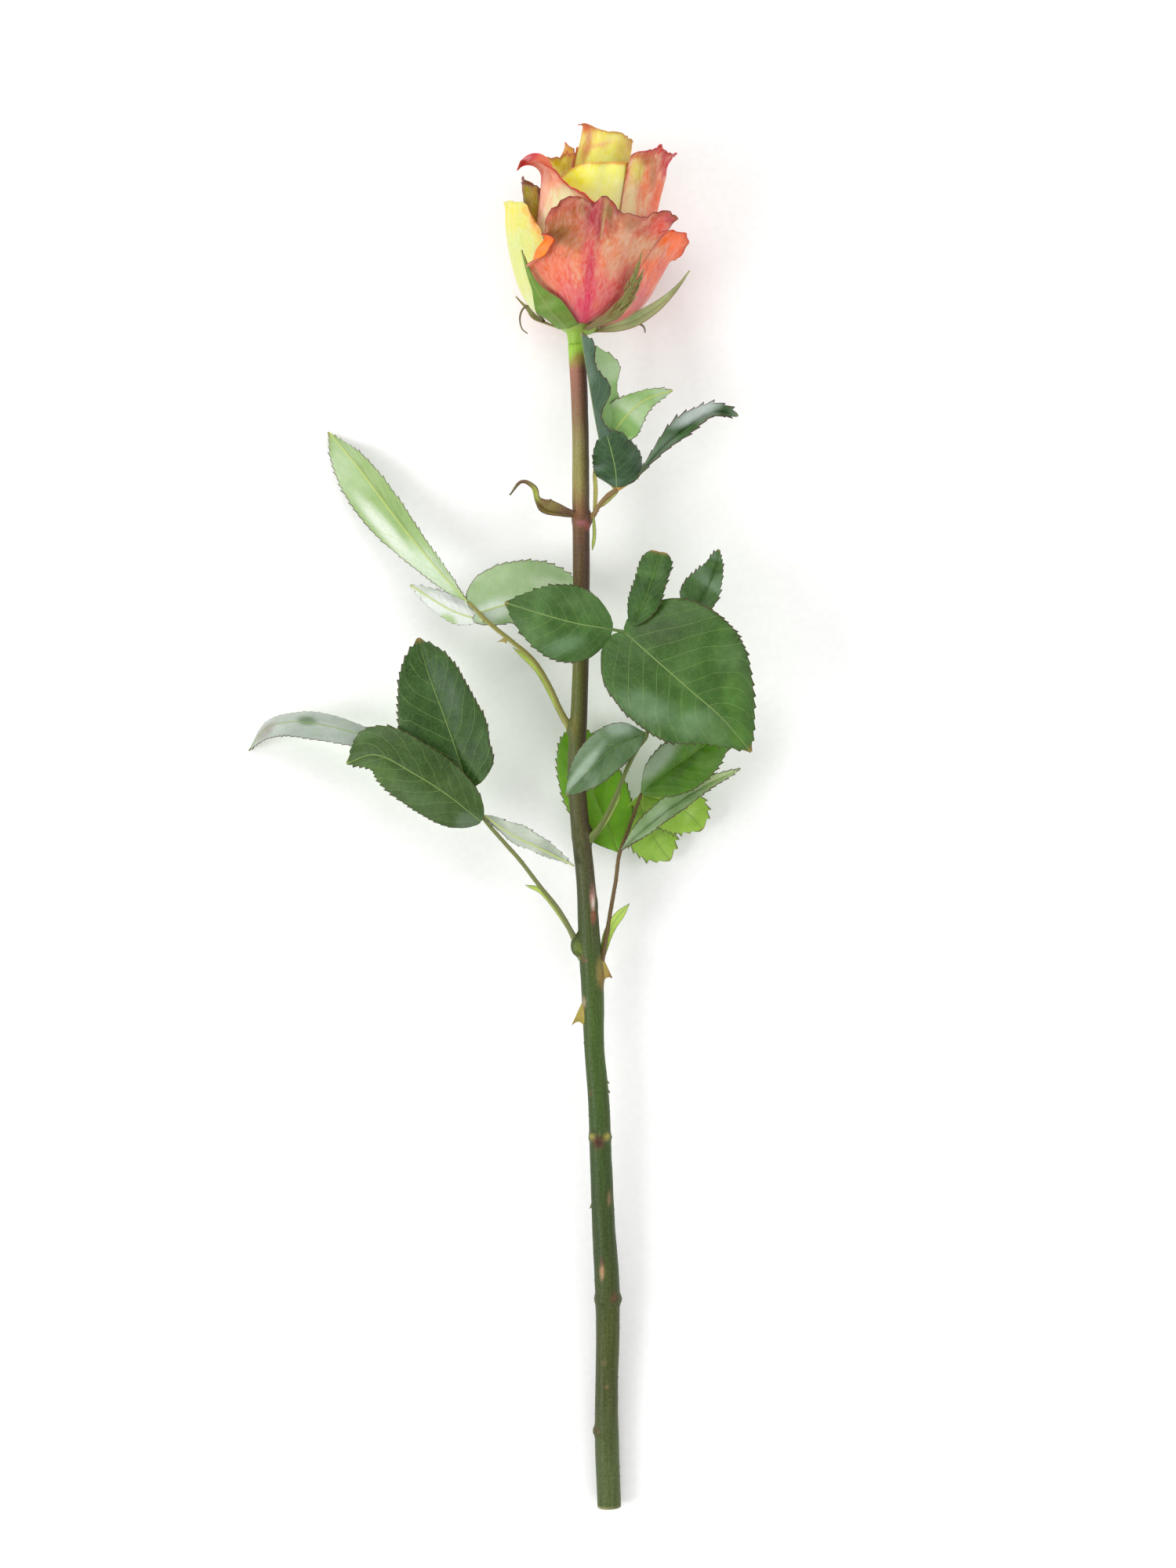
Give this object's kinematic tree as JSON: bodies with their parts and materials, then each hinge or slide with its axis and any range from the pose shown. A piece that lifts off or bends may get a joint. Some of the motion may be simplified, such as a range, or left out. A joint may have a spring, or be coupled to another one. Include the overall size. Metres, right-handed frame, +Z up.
{
  "type": "cut rose",
  "caption": "A single long-stemmed cut rose lying on its side, with a half-open yellow and coral bloom, toothed compound leaves and a prickly stem.",
  "frame": {"origin": "On the table under the middle of the flower's bounding box.", "axes": "+Z is up from the table, +Y runs along the stem from the cut end to the bloom, and +X is to the right of the stem seen from above."},
  "size_m": [0.17, 0.4488, 0.0551],
  "materials": {
    "stem_skin": "satin",
    "leaf_green": "satin",
    "bract_skin": "satin",
    "sepal_green": "matte",
    "petal_coral": "matte",
    "petal_orange": "matte",
    "petal_yellow": "matte",
    "petal_cream": "matte",
    "petal_olive": "matte"
  },
  "bodies": {
    "root": {"stem": "stem_skin", "leaf_upper": "leaf_green", "leaf_bract": "bract_skin", "leaf_upper_left": "leaf_green", "leaf_front_right": "leaf_green", "leaf_rear_right": "leaf_green", "leaf_lower_left": "leaf_green", "calyx": "sepal_green", "petal_front": "petal_coral", "petal_right": "petal_orange", "petal_rear_right": "petal_coral", "petal_rear_left": "petal_coral", "petal_left": "petal_yellow", "petal_curled": "petal_cream", "petal_striped": "petal_coral", "petal_inner_right": "petal_cream", "petal_inner_rear": "petal_yellow", "petal_olive": "petal_olive", "petal_yellow_front": "petal_yellow", "petal_yellow_left": "petal_yellow", "petal_yellow_rear": "petal_yellow", "bloom_heart": "petal_yellow"}
  },
  "joints": []
}
